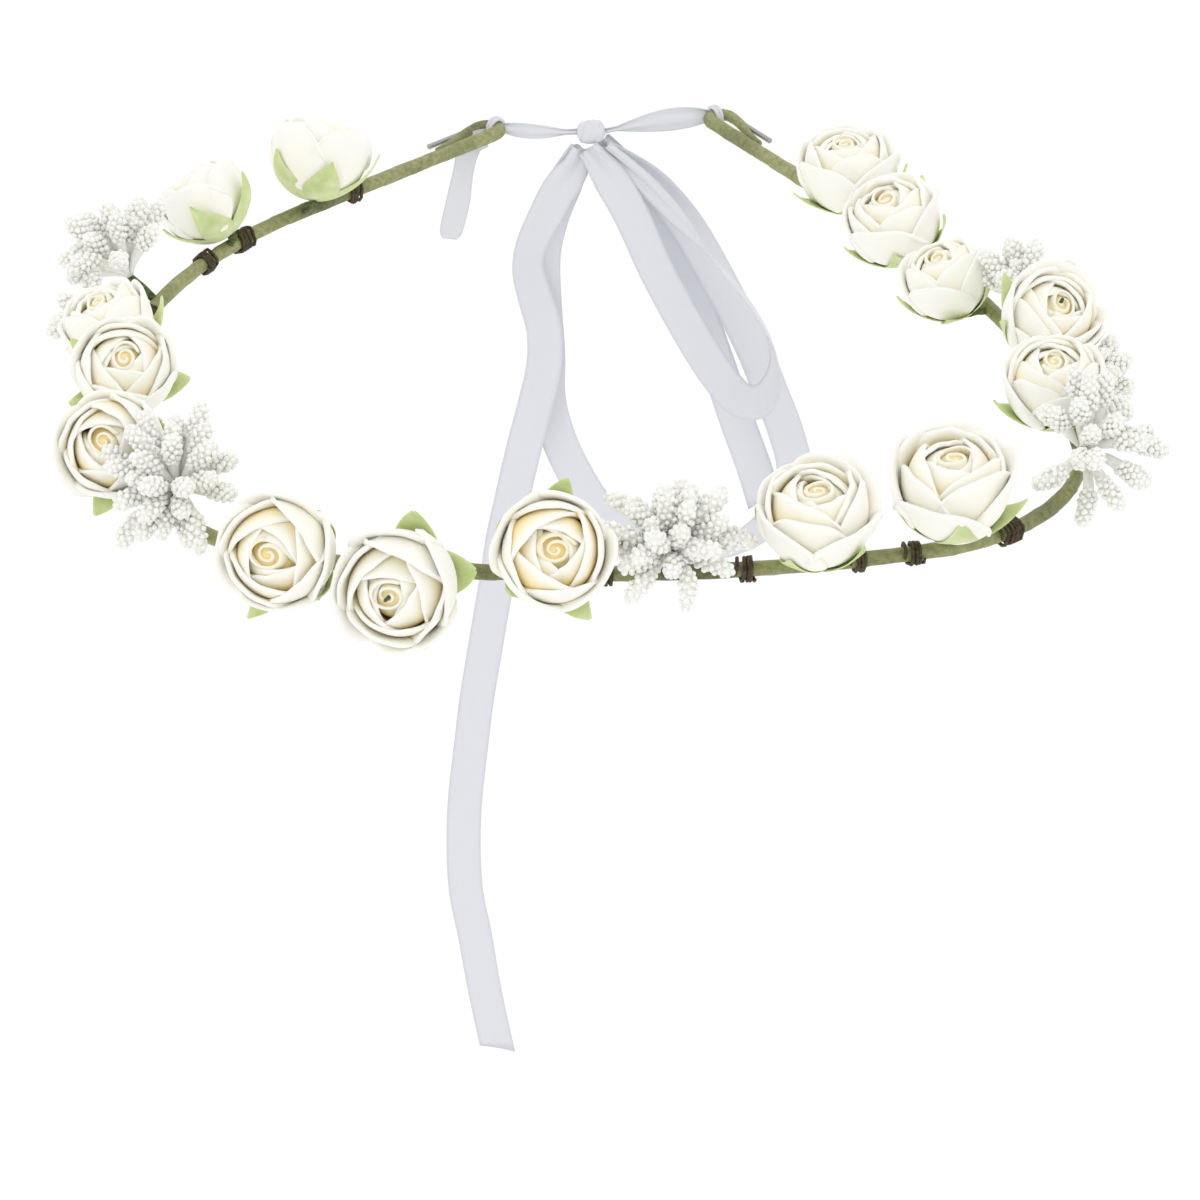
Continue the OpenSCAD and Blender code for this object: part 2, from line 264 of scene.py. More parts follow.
# Paper-covered binding wire, twisted: near-black brown with a dull green cast
def makePaperWire(name, light, dark):
    material, tree, shader = newMaterial(name)
    coords = addNode(tree, "ShaderNodeTexCoord")
    fibres = addNode(tree, "ShaderNodeTexNoise", {"Scale": 1400.0, "Detail": 3.0},
                     {"Vector": coords.outputs["Object"]})
    tint = addNode(tree, "ShaderNodeValToRGB", None, {"Fac": fibres.outputs["Fac"]})
    setRamp(tint, [(0.35, srgb(dark)), (0.68, srgb(light))])
    bump = addNode(tree, "ShaderNodeBump", {"Strength": 0.5, "Distance": 0.1 * mm},
                   {"Height": fibres.outputs["Fac"]})
    tree.links.new(tint.outputs["Color"], shader.inputs["Base Color"])
    tree.links.new(bump.outputs["Normal"], shader.inputs["Normal"])
    shader.inputs["Roughness"].default_value = 0.66
    return material


# Waxed white thread, drawn: smooth and faintly glossy, a little clouded
def makeThread():
    material, tree, shader = newMaterial("waxedThreadWhite")
    coords = addNode(tree, "ShaderNodeTexCoord")
    cloud = addNode(tree, "ShaderNodeTexNoise", {"Scale": 500.0, "Detail": 2.0},
                    {"Vector": coords.outputs["Object"]})
    tint = addNode(tree, "ShaderNodeValToRGB", None, {"Fac": cloud.outputs["Fac"]})
    setRamp(tint, [(0.3, srgb("#F4F4EC")), (0.7, srgb("#FCFCF8"))])
    bump = addNode(tree, "ShaderNodeBump", {"Strength": 0.25, "Distance": 0.08 * mm},
                   {"Height": cloud.outputs["Fac"]})
    tree.links.new(tint.outputs["Color"], shader.inputs["Base Color"])
    tree.links.new(bump.outputs["Normal"], shader.inputs["Normal"])
    shader.inputs["Roughness"].default_value = 0.38
    shader.inputs["Subsurface Weight"].default_value = 0.08
    shader.inputs["Subsurface Radius"].default_value = (1.0, 1.0, 0.9)
    shader.inputs["Subsurface Scale"].default_value = 0.8 * mm
    return material


# Foamed plastic beads, dipped: near-matt white grains, slightly rough and uneven in tone
def makeBead():
    material, tree, shader = newMaterial("dippedBeadWhite")
    coords = addNode(tree, "ShaderNodeTexCoord")
    grain = addNode(tree, "ShaderNodeTexNoise", {"Scale": 1100.0, "Detail": 2.0},
                    {"Vector": coords.outputs["Object"]})
    tint = addNode(tree, "ShaderNodeValToRGB", None, {"Fac": grain.outputs["Fac"]})
    setRamp(tint, [(0.3, srgb("#F6F6EE")), (0.65, srgb("#FDFDF9"))])
    bump = addNode(tree, "ShaderNodeBump", {"Strength": 0.3, "Distance": 0.08 * mm},
                   {"Height": grain.outputs["Fac"]})
    tree.links.new(tint.outputs["Color"], shader.inputs["Base Color"])
    tree.links.new(bump.outputs["Normal"], shader.inputs["Normal"])
    shader.inputs["Roughness"].default_value = 0.5
    shader.inputs["Subsurface Weight"].default_value = 0.08
    shader.inputs["Subsurface Radius"].default_value = (1.0, 1.0, 0.95)
    shader.inputs["Subsurface Scale"].default_value = 0.7 * mm
    return material


# Polyester organza, plain weave with woven edges: sheer bluish white, denser along its sides
def makeOrganza():
    # the threads, about 0.1 mm apart, are drawn 0.9 mm apart so that they show
    weave = {"thread": 0.9 * mm, "width": 8 * mm, "sheer": 0.66, "edge": 0.9}
    material, tree, shader = newMaterial("organzaWhite")
    sheet = addNode(tree, "ShaderNodeUVMap", uv_map="UVMap")
    parts = addNode(tree, "ShaderNodeSeparateXYZ", None, {"Vector": sheet.outputs["UV"]})
    perWidth = weave["width"] / weave["thread"] * 2 * math.pi
    warp = addNode(tree, "ShaderNodeMath", {1: perWidth}, {0: parts.outputs["X"]}, operation="MULTIPLY")
    weft = addNode(tree, "ShaderNodeMath", {1: perWidth}, {0: parts.outputs["Y"]}, operation="MULTIPLY")
    warpWave = addNode(tree, "ShaderNodeMath", None, {0: warp.outputs[0]}, operation="SINE")
    weftWave = addNode(tree, "ShaderNodeMath", None, {0: weft.outputs[0]}, operation="SINE")
    threads = addNode(tree, "ShaderNodeMath", None, {0: warpWave.outputs[0], 1: weftWave.outputs[0]},
                      operation="MULTIPLY")
    fleckSize = addNode(tree, "ShaderNodeMapping", {"Scale": (14.0, 5.0, 1.0)},
                        {"Vector": sheet.outputs["UV"]})
    flecks = addNode(tree, "ShaderNodeTexNoise", {"Scale": 1.0, "Detail": 4.0, "Roughness": 0.7},
                     {"Vector": fleckSize.outputs["Vector"]})
    fromMiddle = addNode(tree, "ShaderNodeMath", {1: 0.5}, {0: parts.outputs["X"]}, operation="SUBTRACT")
    outward = addNode(tree, "ShaderNodeMath", None, {0: fromMiddle.outputs[0]}, operation="ABSOLUTE")
    selvedge = addNode(tree, "ShaderNodeMapRange",
                       {"From Min": 0.44, "From Max": 0.47,
                        "To Min": weave["sheer"], "To Max": weave["edge"]},
                       {"Value": outward.outputs[0]})
    cloudy = addNode(tree, "ShaderNodeMapRange",
                     {"From Min": 0.3, "From Max": 0.7, "To Min": -0.1, "To Max": 0.1},
                     {"Value": flecks.outputs["Fac"]})
    ripple = addNode(tree, "ShaderNodeMath", {1: 0.05}, {0: threads.outputs[0]}, operation="MULTIPLY")
    woven = addNode(tree, "ShaderNodeMath", None, {0: selvedge.outputs["Result"], 1: ripple.outputs[0]},
                    operation="ADD")
    alpha = addNode(tree, "ShaderNodeMath", None, {0: woven.outputs[0], 1: cloudy.outputs["Result"]},
                    operation="ADD", use_clamp=True)
    tint = addNode(tree, "ShaderNodeValToRGB", None, {"Fac": flecks.outputs["Fac"]})
    setRamp(tint, [(0.35, srgb("#DDDFE6")), (0.65, srgb("#ECEDF2"))])
    tree.links.new(tint.outputs["Color"], shader.inputs["Base Color"])
    tree.links.new(alpha.outputs[0], shader.inputs["Alpha"])
    shader.inputs["Roughness"].default_value = 0.5
    shader.inputs["Sheen Weight"].default_value = 0.2
    shader.inputs["Sheen Roughness"].default_value = 0.4
    return material


# Drawn steel wire: plain grey metal with fine lines
def makeSteel():
    material, tree, shader = newMaterial("drawnSteelWire")
    coords = addNode(tree, "ShaderNodeTexCoord")
    lines = addNode(tree, "ShaderNodeTexNoise", {"Scale": 2000.0, "Detail": 2.0},
                    {"Vector": coords.outputs["Object"]})
    gloss = addNode(tree, "ShaderNodeMapRange", {"To Min": 0.3, "To Max": 0.5},
                    {"Value": lines.outputs["Fac"]})
    tree.links.new(gloss.outputs["Result"], shader.inputs["Roughness"])
    shader.inputs["Base Color"].default_value = srgb("#A9A9A6")
    shader.inputs["Metallic"].default_value = 1.0
    return material


foamMaterial = makeFoam()
paperMaterial = makeCalyxPaper()
tapeMaterial = makeFloralTape()
bindingMaterial = makePaperWire("paperWireBrown", "#5C4A2C", "#241B0E")
stemMaterial = makePaperWire("paperWireGreen", "#6B7A3C", "#2E3618")
threadMaterial = makeThread()
beadMaterial = makeBead()
organzaMaterial = makeOrganza()
steelMaterial = makeSteel()
print("materials made")


# Each point of a route is x, y, z and width in mm, and the ribbon's turn about its route in degrees
ribbonLook = {"thickness": 0.14 * mm, "across": 8, "perSpan": 5, "cup": 0.05, "ripple": 0.35 * mm}

ribbonRoutes = {
    "longTail": [
        (-1.6, 111.4, -3.9, 3, 0), (-3.5, 111, -8, 4, 0), (-7, 110.5, -13, 6, 0),
        (-10, 110, -19, 7, 10), (-13, 110, -26, 8, 25), (-14, 110, -32, 8, 35),
        (-12.5, 110, -39, 8, 25), (-10.5, 110, -47, 8, 10), (-10.5, 110, -56, 8, 0),
        (-12.5, 110.5, -66, 8, 0), (-15.5, 111, -79, 8, 0), (-18, 111.5, -91, 8, 0),
        (-20, 112, -101, 8, 0), (-21.25, 112, -110, 8, 0), (-22.5, 112.5, -118, 8, 0),
        (-24.5, 113, -131, 8, 0), (-26.5, 113, -144, 8, 0), (-28, 113, -157, 8, 0),
        (-29.5, 112.5, -171, 8, 0), (-30, 112, -184, 8, 0), (-29.5, 111.5, -196, 8, 0),
        (-27.5, 111, -208, 8, 0), (-25.5, 110.5, -222, 8, 0), (-22.5, 110, -239, 8, 0)],
    "bigLoop": [
        (-2, 113.2, -3.9, 3, 0), (-5.5, 113.6, -12, 5, 0), (-9, 114.4, -22, 7, 0),
        (-10.8, 115, -32, 8, 0), (-10.5, 115, -44, 8, 0), (-9.8, 115, -56, 8, 0),
        (-9.8, 115, -66, 8, 0), (-8, 114.5, -75, 8, 0), (-4.5, 114, -84, 8, 5),
        (0.5, 113.5, -93, 8, 20), (7, 113, -100, 8, 45), (15, 112.5, -104.5, 8, 70),
        (24, 112.5, -105.5, 8, 85), (33, 112.5, -103, 8, 75), (40, 113, -98, 8, 55),
        (44.5, 113.5, -91, 8, 30), (46, 114, -84, 8, 10), (44, 114, -75, 8, 0),
        (40.5, 114, -65, 8, 0), (36, 114, -53, 8, 0), (28.5, 113.8, -37, 8, 0),
        (20.5, 113.5, -22, 7, 0), (12, 113.3, -11.5, 5, 0), (2.2, 113.2, -3.9, 3, 0)],
    "smallLoop": [
        (-0.8, 109.9, -2.8, 2.6, 0), (4, 108.6, -9, 5, 0), (9, 107.6, -18, 8, 0),
        (14.5, 107, -31, 8, 0), (21.5, 106.6, -45, 8, 0), (28, 105.8, -56, 8, 10),
        (33.5, 104.5, -62, 8, 30), (38.5, 103, -61, 8, 55), (41, 102, -54, 8, 75),
        (39.5, 101.6, -45, 8, 80), (34.5, 102, -36, 8, 80), (27.5, 103.4, -27.5, 7, 75),
        (19, 106, -18, 5, 50), (10, 108.5, -9, 3, 20), (2.8, 109.9, -2.8, 2, 0)],
    "shortTail": [
        (2, 115.2, -3.4, 3, 0), (6.5, 115.7, -9, 4, 0), (11.5, 115.8, -17, 6, 0),
        (18, 116.2, -31, 8, 0), (24, 116.8, -46, 8, 0), (29, 117.4, -61, 8, 0),
        (33, 117.8, -74, 8, 0), (37, 118, -86, 8, 0), (39.5, 118, -95, 8, 0)],
}


# Points between the route's points on one smooth curve, with width and turn
def smoothRoute(points, perSpan):
    dense = []
    for k in range(len(points) - 1):
        p0 = points[max(k - 1, 0)]
        p1 = points[k]
        p2 = points[k + 1]
        p3 = points[min(k + 2, len(points) - 1)]
        for step in range(perSpan):
            t = step / perSpan
            dense.append([0.5 * (2 * b + (c - a) * t + (2 * a - 5 * b + 4 * c - d) * t ** 2
                                 + (3 * b - a - 3 * c + d) * t ** 3) for a, b, c, d in zip(p0, p1, p2, p3)])
    dense.append(list(points[-1]))
    return dense


def ribbonStrip(name, points, body, stands, seed, cutEnd=0.0):
    look = ribbonLook
    dense = smoothRoute(points, look["perSpan"])
    middle = [Vector(p[:3]) * mm for p in dense]
    last = len(dense) - 1
    run = [0.0]
    for a, b in zip(middle, middle[1:]):
        run.append(run[-1] + (b - a).length)
    chance = random.Random(seed)
    phase = chance.uniform(0, 6)

    def place(u, v):
        at = v * last
        k = min(round(at), last)
        ahead = (middle[min(k + 1, last)] - middle[max(k - 1, 0)]).normalized()
        across = ahead.cross(Vector((0, 1, 0))).normalized()
        face = across.cross(ahead)
        turn = math.radians(dense[k][4])
        side = math.cos(turn) * across + math.sin(turn) * face
        front = math.cos(turn) * face - math.sin(turn) * across
        width = min(8, 1.5 + 1.25 * dense[k][3]) * mm
        off = u - 0.5
        gather = max(0.0, 1 - dense[k][3] / 7) if cutEnd is not None else 0
        lift = look["cup"] * width * (1 - 4 * off * off)
        lift += look["ripple"] * math.sin(run[k] / (17 * mm) * 2 * math.pi / 3 + phase) * off * 1.6
        lift += gather * 1.1 * mm * math.sin(off * 4 * math.pi + phase)
        slant = (cutEnd or 0) * off * (1 if k == last else 0)
        return middle[k] + side * width * off + front * lift + ahead * slant

    bm = bmesh.new()
    uv = bm.loops.layers.uv.verify()
    spots = bentSheet(bm, look["across"], last, place)
    where = {vertex: spot for vertex, spot in spots}
    for face in bm.faces:
        for loop in face.loops:
            u, v = where[loop.vert]
            loop[uv].uv = (u, run[min(round(v * last), last)] / (8 * mm))
    piece = finishPiece(name, bm, [organzaMaterial], body, stands, recalc=False)
    thicken(piece, look["thickness"], 0, 0)
    return piece, [tuple(p) for p in middle], run[-1]


def makeCord(name, key, body, stands, seed, cutEnd=0.0):
    piece, path, drawn = ribbonStrip(name, ribbonRoutes[key], body, stands, seed, cutEnd)
    print(name, "drawn length", round(drawn * 1000, 1), "mm")
    start = tuple(path[0])
    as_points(path)
    return piece


longTail = makeCord("ribbonLongTail", "longTail", None, ("tail_upper", "tail_lower"), 3,
                    3 * mm)
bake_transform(longTail)
makeCord("ribbonBigLoop", "bigLoop", "bow", ("big_loop",), 5)
makeCord("ribbonSmallLoop", "smallLoop", "bow", ("small_loop",), 8)
makeCord("ribbonShortTail", "shortTail", "bow", ("short_tail",), 12, -2 * mm)
print("ribbon hung")


hoop = {"front": 88, "leftBends": [(260, 12), (45, 53), (114, 71)], "leftArm": 56,
        "rightBends": [(240, 16), (43, 78), (190, 29)], "rightArm": 74,
        "radius": 1.5, "eye": 2.6, "fold": 15}


def runAlong(bends, run):
    x, y, heading = 0.0, 0.0, 0.0
    for radius, angle in bends:
        part = min(math.radians(angle), run / radius)
        x += radius * (math.sin(heading + part) - math.sin(heading))
        y += radius * (math.cos(heading) - math.cos(heading + part))
        heading += part
        run -= radius * part
        if run <= 1e-9:
            return x, y, heading
    return x + run * math.cos(heading), y + run * math.sin(heading), heading


# Where the hoop is at a run from the front, the way it goes on there, and the way outwards
def hoopAt(run):
    side = 1 if run >= 0 else -1
    bends = hoop["rightBends"] if side > 0 else hoop["leftBends"]
    x, y, heading = runAlong(bends, abs(run))
    place = Vector((side * x, y - hoop["front"], 0)) * mm
    along = Vector((side * math.cos(heading), math.sin(heading), 0))
    outward = Vector((side * math.sin(heading), -math.cos(heading), 0))
    return place, along, outward


# Foot and axis of a flower on the hoop, from its run, offsets and leans
def planted(run, out, lift, roll, lean):
    place, along, outward = hoopAt(run)
    up = Vector((0, 0, 1))
    rolled = math.cos(math.radians(roll)) * up + math.sin(math.radians(roll)) * outward
    axis = math.cos(math.radians(lean)) * rolled + math.sin(math.radians(lean)) * along
    foot = place + (out * outward + lift * up) * mm
    level = (along - along.dot(axis) * axis).normalized()
    turn = Matrix((level, axis.cross(level), axis)).transposed().to_4x4()
    return Matrix.Translation(foot) @ turn


sideLength = {}
for sideName, sign in (("left", -1), ("right", 1)):
    bent = sum(radius * math.radians(angle) for radius, angle in hoop[sideName + "Bends"])
    sideLength[sign] = bent + hoop[sideName + "Arm"]


# Middle line of one end: round the eye and back along the arm, closing up on it
def eyePoints(sign):
    place, along, outward = hoopAt(sign * sideLength[sign])
    centre = place + outward * hoop["eye"] * mm
    points = []
    for k in range(1, 12):
        turn = math.pi * k / 12
        points.append(centre + hoop["eye"] * mm * (math.sin(turn) * along - math.cos(turn) * outward))
    for k in range(0, 19):
        share = k / 18
        apart = 2 * hoop["eye"] - (2 * hoop["eye"] - 2.5) * (3 - 2 * share) * share * share
        points.append(place + (outward * apart - along * hoop["fold"] * share) * mm)
    return points


def makeTapedHoop():
    look = {"step": 0.8, "sides": 16, "pitch": 9, "ridge": 0.16, "wrinkle": 0.1}
    points = list(reversed(eyePoints(-1)))
    run = -sideLength[-1]
    while run < sideLength[1]:
        points.append(hoopAt(run)[0])
        run += look["step"]
    points += [hoopAt(sideLength[1])[0]] + eyePoints(1)
    chance = random.Random(21)
    radii = [hoop["radius"] * mm * (1 + 0.03 * math.sin(k * 0.21) + chance.uniform(-0.012, 0.012))
             for k in range(len(points))]
    for k in range(26):
        radii[k] *= 0.45 + 0.5 * k / 26
        radii[-1 - k] *= 0.45 + 0.5 * k / 26
    bm = bmesh.new()
    uv = bm.loops.layers.uv.verify()
    rings = tube(bm, points, radii, look["sides"])
    far = 0.0
    spots = {}
    for k, ring in enumerate(rings):
        if k:
            far += (points[k] - points[k - 1]).length
        for j, vertex in enumerate(ring):
            turn = j / look["sides"]
            wind = (turn + far / (look["pitch"] * mm)) % 1.0
            wrinkle = math.sin(14 * math.pi * turn + far * 900) * 0.5
            swell = look["ridge"] * wind ** 3 + look["wrinkle"] * wrinkle
            vertex.co += (vertex.co - points[k]).normalized() * swell * mm * 0.6
            spots[vertex] = (turn, far / (look["pitch"] * mm))
    for face in bm.faces:
        seam = max(spots[loop.vert][0] for loop in face.loops) > 0.9
        for loop in face.loops:
            turn, far = spots[loop.vert]
            turn += 1 if seam and turn < 0.5 else 0
            loop[uv].uv = (far * 0.5, turn + far)
    return finishPiece("tapedHoop", bm, [tapeMaterial], "root", ("tape_wrap",))


makeTapedHoop()
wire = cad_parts["wire_hoop"].data
wire.materials.clear()
wire.materials.append(steelMaterial)


bindings = [-251, -218, -205, -176, -64, -40, 2, 30, 52, 63, 84]


# Dark wire wound round the hoop, each winding a little uneven
def makeBindings():
    look = {"wire": 0.38, "turns": 4.4, "pitch": 1.1, "perTurn": 14}
    bm = bmesh.new()
    for k, run in enumerate(bindings):
        chance = random.Random(100 + k)
        turns = look["turns"] + chance.uniform(-1.2, 1.6)
        steps = int(turns * look["perTurn"])
        points = []
        for step in range(steps + 1):
            share = step / steps
            turn = share * turns * 2 * math.pi + chance.uniform(-0.05, 0.05)
            drift = 0.5 * math.sin(5 * share)
            spot, _, outward = hoopAt(run + (share - 0.5) * turns * look["pitch"] + drift)
            reach = (hoop["radius"] + look["wire"] * 1.1 + 0.45 * math.sin(step * 0.9 + k) ** 2) * mm
            points.append(spot + reach * (math.cos(turn) * outward + math.sin(turn) * Vector((0, 0, 1))))
        radii = [look["wire"] * mm] * len(points)
        radii[0] = 0.25 * mm
        radii[-1] = 0.25 * mm
        tube(bm, points, radii, 7)
    finishPiece("bindingWires", bm, [bindingMaterial], "root", ("binding_wires",))


makeBindings()
print("hoop wound")


# Each rose: its run along the hoop (left is negative), offset outwards and up, lean outwards,
# lean along the hoop, and diameter, in mm and degrees
roses = [
    (-236, -4, 3, 17, 26, 20.5), (-213, -1.5, 2.5, 41, -4, 19), (-152, -2, 2, 20, -8, 19),
    (-136, -2.5, 3.5, 0, -39, 20), (-107, 1, 4, 38, -41, 21), (-55, 3.5, 4.5, 67, 5, 22),
    (-32, 5, 2.5, 77, 9, 23), (-8, 3.5, 6, 58, -7, 22), (43, 2, 2.5, 17, -3, 22),
    (70, 1.5, 4, 12, -5, 23), (133, -4, 1.5, -4, -17, 20), (162, -2, 4.5, 15, -35, 20),
    (187, -6.5, 0, -23, 3, 18), (212, -6.5, 2, -20, 0, 20), (235, -5, 3.5, -7, 1, 20)]
bendable = [1, 6, 7, 8, 9, 10]
# how strongly painted fold shade is laid on each rose; the others get 0.85
foldShadeByRose = {8: 1.5, 5: 1.1, 6: 1.15, 4: 0.9}

# Petal rings from the outside in. Each petal hugs a ball of its own size, from the calyx up to its
# rim: rim, half and drop are angles in degrees, from the top of the ball, of half its width and
# down its sides.
petalRings = [
    {"count": 4, "ball": 1.00, "rim": 66, "half": 66, "drop": 34,
     "flare": 0.13, "tuck": 0.045, "flat": 0.06},
    {"count": 4, "ball": 0.90, "rim": 50, "half": 66, "drop": 32,
     "flare": 0.10, "tuck": 0.045, "flat": 0.08},
    {"count": 3, "ball": 0.80, "rim": 38, "half": 80, "drop": 26,
     "flare": 0.08, "tuck": 0.06, "flat": 0.12},
    {"count": 3, "ball": 0.70, "rim": 28, "half": 84, "drop": 20,
     "flare": 0.06, "tuck": 0.06, "flat": 0.14},
    {"count": 2, "ball": 0.60, "rim": 22, "half": 100, "drop": 14,
     "flare": 0.04, "tuck": 0.08, "flat": 0.10},
]
petalLook = {"across": 14, "along": 10, "foam": 1.25 * mm, "start": 150, "open": 0.5, "seat": 1.15 * mm,
             "share": 0.93}
openness = {1: 0.35, 2: 0.05, 3: 0.2, 4: 0.3, 5: 0.45, 6: 0.6, 7: 0.8, 8: 0.3, 9: 0.9, 10: 0.9, 11: 0.3,
            12: 0.7, 13: 0.2, 14: 0.45, 15: 0.45}
wireEnds = [7, 12]


def petal(bm, ring, radius, turn, chance, foldShadeLayer, wallLayer, foldShadeStrength, opening):
    look = petalLook
    ball = ring["ball"] * chance.uniform(0.985, 1.015)
    rim = ring["rim"] * chance.uniform(0.88, 1.12)
    half = math.radians(ring["half"] * chance.uniform(0.92, 1.06))
    flare = ring["flare"] * chance.uniform(0.5, 1.5) * (0.7 + 0.6 * opening)
    point = chance.uniform(0, 4)
    wave = chance.uniform(0.006, 0.02)
    phase = chance.uniform(0, 6)
    lift = opening * look["open"] * chance.uniform(0.75, 1.25) * ring["ball"] ** 4

    def place(u, v):
        off = 2 * u - 1
        edge = rim + ring["drop"] * abs(off) ** 4 - point * (1 - abs(off)) ** 2
        polar = math.radians(look["start"] + (edge - look["start"]) * v)
        angle = off * half * (0.5 + 0.5 * math.sin(min(v * 1.3, 1) * math.pi / 2))
        angle *= 1 - 0.24 * max(0.0, (v - 0.62) / 0.38) ** 2
        over = max(0.0, v - 0.68) / 0.32
        reach = ball * (1 + ring["tuck"] * off) + flare * over ** 2
        reach += wave * math.sin(3 * math.pi * off + phase) * over
        reach *= 1 + ring["flat"] * (1 - math.cos(angle)) * v
        raised = max(0.0, 90 - math.degrees(polar)) / 90
        out = radius * (reach * math.sin(polar) + lift * raised ** 1.2)
        return Vector((out * math.cos(angle + turn), out * math.sin(angle + turn),
                       radius * reach * math.cos(polar)))

    for vertex, (u, v) in bentSheet(bm, look["across"], look["along"], place):
        # painted shade: the fold mask grows towards the petal's foot, deep inside the rose, scaled per rose
        deep = (1 - v) * (2.4 if ring["ball"] < 0.85 else 3.4 * (1.1 - ring["ball"]))
        vertex[foldShadeLayer] = max(0.0, min(1.0, deep * foldShadeStrength))
        vertex[wallLayer][0] = 1 - 0.3 * max(0.0, v - 0.75) / 0.25 - 0.3 * abs(2 * u - 1) ** 6


# The rolled petal in the middle
def rollBud(bm, radius, chance, foldShadeLayer, wallLayer, foldShadeStrength):
    bud = {"turns": 2.2, "outer": 0.52, "inner": 0.04, "foot": 0.0, "top": 0.68, "lean": 0.4, "core": 0.57}
    start = chance.uniform(0, 6)

    def place(u, v):
        turn = start + u * bud["turns"] * 2 * math.pi
        out = (bud["outer"] + (bud["inner"] - bud["outer"]) * u) * (1 - bud["lean"] * v * v)
        out *= 1 + 0.12 * math.cos(2 * turn)
        rise = bud["foot"] + (bud["top"] - bud["foot"] - 0.06 * u + 0.03 * math.sin(turn * 1.3)) * v
        return Vector((radius * out * math.cos(turn), radius * out * math.sin(turn), radius * rise))

    for vertex, (u, v) in bentSheet(bm, 34, 6, place):
        # painted shade: cream towards the bud's foot
        vertex[foldShadeLayer] = max(0.0, min(1.0, (1.3 - v) * foldShadeStrength))
        vertex[wallLayer][0] = 0.75 - 0.25 * v
    core = bmesh.ops.create_uvsphere(bm, u_segments=14, v_segments=8, radius=radius * bud["core"])
    for vertex in core["verts"]:
        # painted shade: the hidden core ball takes the full fold cream
        vertex[foldShadeLayer] = min(1.0, foldShadeStrength)
        vertex[wallLayer][0] = 0.2


def makeRose(number, row):
    radius = row[5] / 2 * mm * petalLook["share"]
    chance = random.Random(400 + number * 7)
    foldShadeStrength = foldShadeByRose.get(number, 0.85)
    matrix = planted(*row[:5]) @ Matrix.Translation((0, 0, row[5] / 2 * mm + petalLook["seat"]))
    bm = bmesh.new()
    bm.loops.layers.uv.verify()
    foldShadeLayer = bm.verts.layers.float.new("fold")
    wallLayer = bm.verts.layers.deform.verify()
    start = chance.uniform(0, 2 * math.pi)
    for ring in petalRings:
        start += math.pi / ring["count"] + chance.uniform(-0.25, 0.25)
        opening = openness[number] * (0.25 + 0.75 * max(0.0, ring["ball"] - 0.6) / 0.4)
        for k in range(ring["count"]):
            turn = start + 2 * math.pi * k / ring["count"] + chance.uniform(-0.12, 0.12)
            petal(bm, ring, radius, turn, chance, foldShadeLayer, wallLayer, foldShadeStrength, opening)
    rollBud(bm, radius, chance, foldShadeLayer, wallLayer, foldShadeStrength)
    if number in wireEnds:
        spike = [Vector((0.3 * mm, 0, radius * 0.3)), Vector((0, 0.3 * mm, radius * 0.55)),
                 Vector((0.2 * mm, 0.5 * mm, radius * 0.74))]
        for ring in tube(bm, spike, [0.45 * mm, 0.42 * mm, 0.3 * mm], 8, 1):
            for vertex in ring:
                vertex[wallLayer][0] = 0.1
    bmesh.ops.transform(bm, matrix=matrix, verts=bm.verts[:])
    body = "rose_head_%d" % number if number in bendable else "root"
    piece = finishPiece("roseHead%02d" % number, bm, [foamMaterial, stemMaterial], body,
                        ("rose_%d" % number,), recalc=False)
    piece.vertex_groups.new(name="wall")
    thicken(piece, petalLook["foam"], 0, 1)
    piece.modifiers["thickness"].vertex_group = "wall"


def makeCalyx(number, row):
    look = {"joined": 42, "tip": 92, "gap": 0.8 * mm, "thickness": 0.25 * mm}
    radius = row[5] / 2 * mm * petalLook["share"]
    chance = random.Random(900 + number)
    matrix = planted(*row[:5]) @ Matrix.Translation((0, 0, row[5] / 2 * mm + petalLook["seat"]))
    bm = bmesh.new()
    bm.loops.layers.uv.verify()
    spare = chance.uniform(0, 1.2)
    for k in range(5):
        turn = spare + 2 * math.pi * k / 5 + chance.uniform(-0.06, 0.06)
        tip = look["tip"] * chance.uniform(0.82, 1.08)
        lift = chance.choice([0.02, 0.06, 0.14, 0.3])
        bendOver = chance.uniform(-0.14, 0.14)
        crease = chance.uniform(0.2, 0.6) * mm

        def place(u, v):
            off = 2 * u - 1
            polar = 3 + (tip - 3) * v
            width = 1.0 if polar < look["joined"] else 1 - (polar - look["joined"]) / (tip - look["joined"])
            arc = math.radians(37.5) * width * math.sin(math.radians(min(polar, look["joined"])))
            arc = (arc + 0.012) / math.sin(math.radians(polar))
            angle = turn + off * arc + bendOver * max(0.0, v - 0.4) ** 2 * 2
            over = max(0.0, v - 0.35) / 0.65
            skin = radius + look["gap"] + radius * lift * over ** 2
            skin += crease * abs(off) * v + 0.25 * mm * math.sin(7 * v + k) * v
            polar = math.radians(polar)
            return Vector((skin * math.sin(polar) * math.cos(angle),
                           skin * math.sin(polar) * math.sin(angle),
                           -skin * math.cos(polar)))

        bentSheet(bm, 6, 10, place)
    bmesh.ops.transform(bm, matrix=matrix, verts=bm.verts[:])
    body = "rose_head_%d" % number if number in bendable else "root"
    piece = finishPiece("roseCalyx%02d" % number, bm, [paperMaterial], body,
                        ("calyx_%d" % number,), recalc=False)
    thicken(piece, look["thickness"], 0, 1)


# The middle line of a flower's own stem, from the hoop to the flower's foot, slightly wavy
def stemPoints(row, start):
    place, along, _ = hoopAt(row[0])
    foot = planted(*row[:5]).translation
    way = (foot - place).normalized()
    reach = (foot - place).length
    points = []
    for k in range(9):
        share = k / 8
        points.append(place + way * (start + (reach + 1.8 * mm - start) * share)
                      + along * 0.35 * mm * math.sin(share * math.pi * 1.5))
    return points


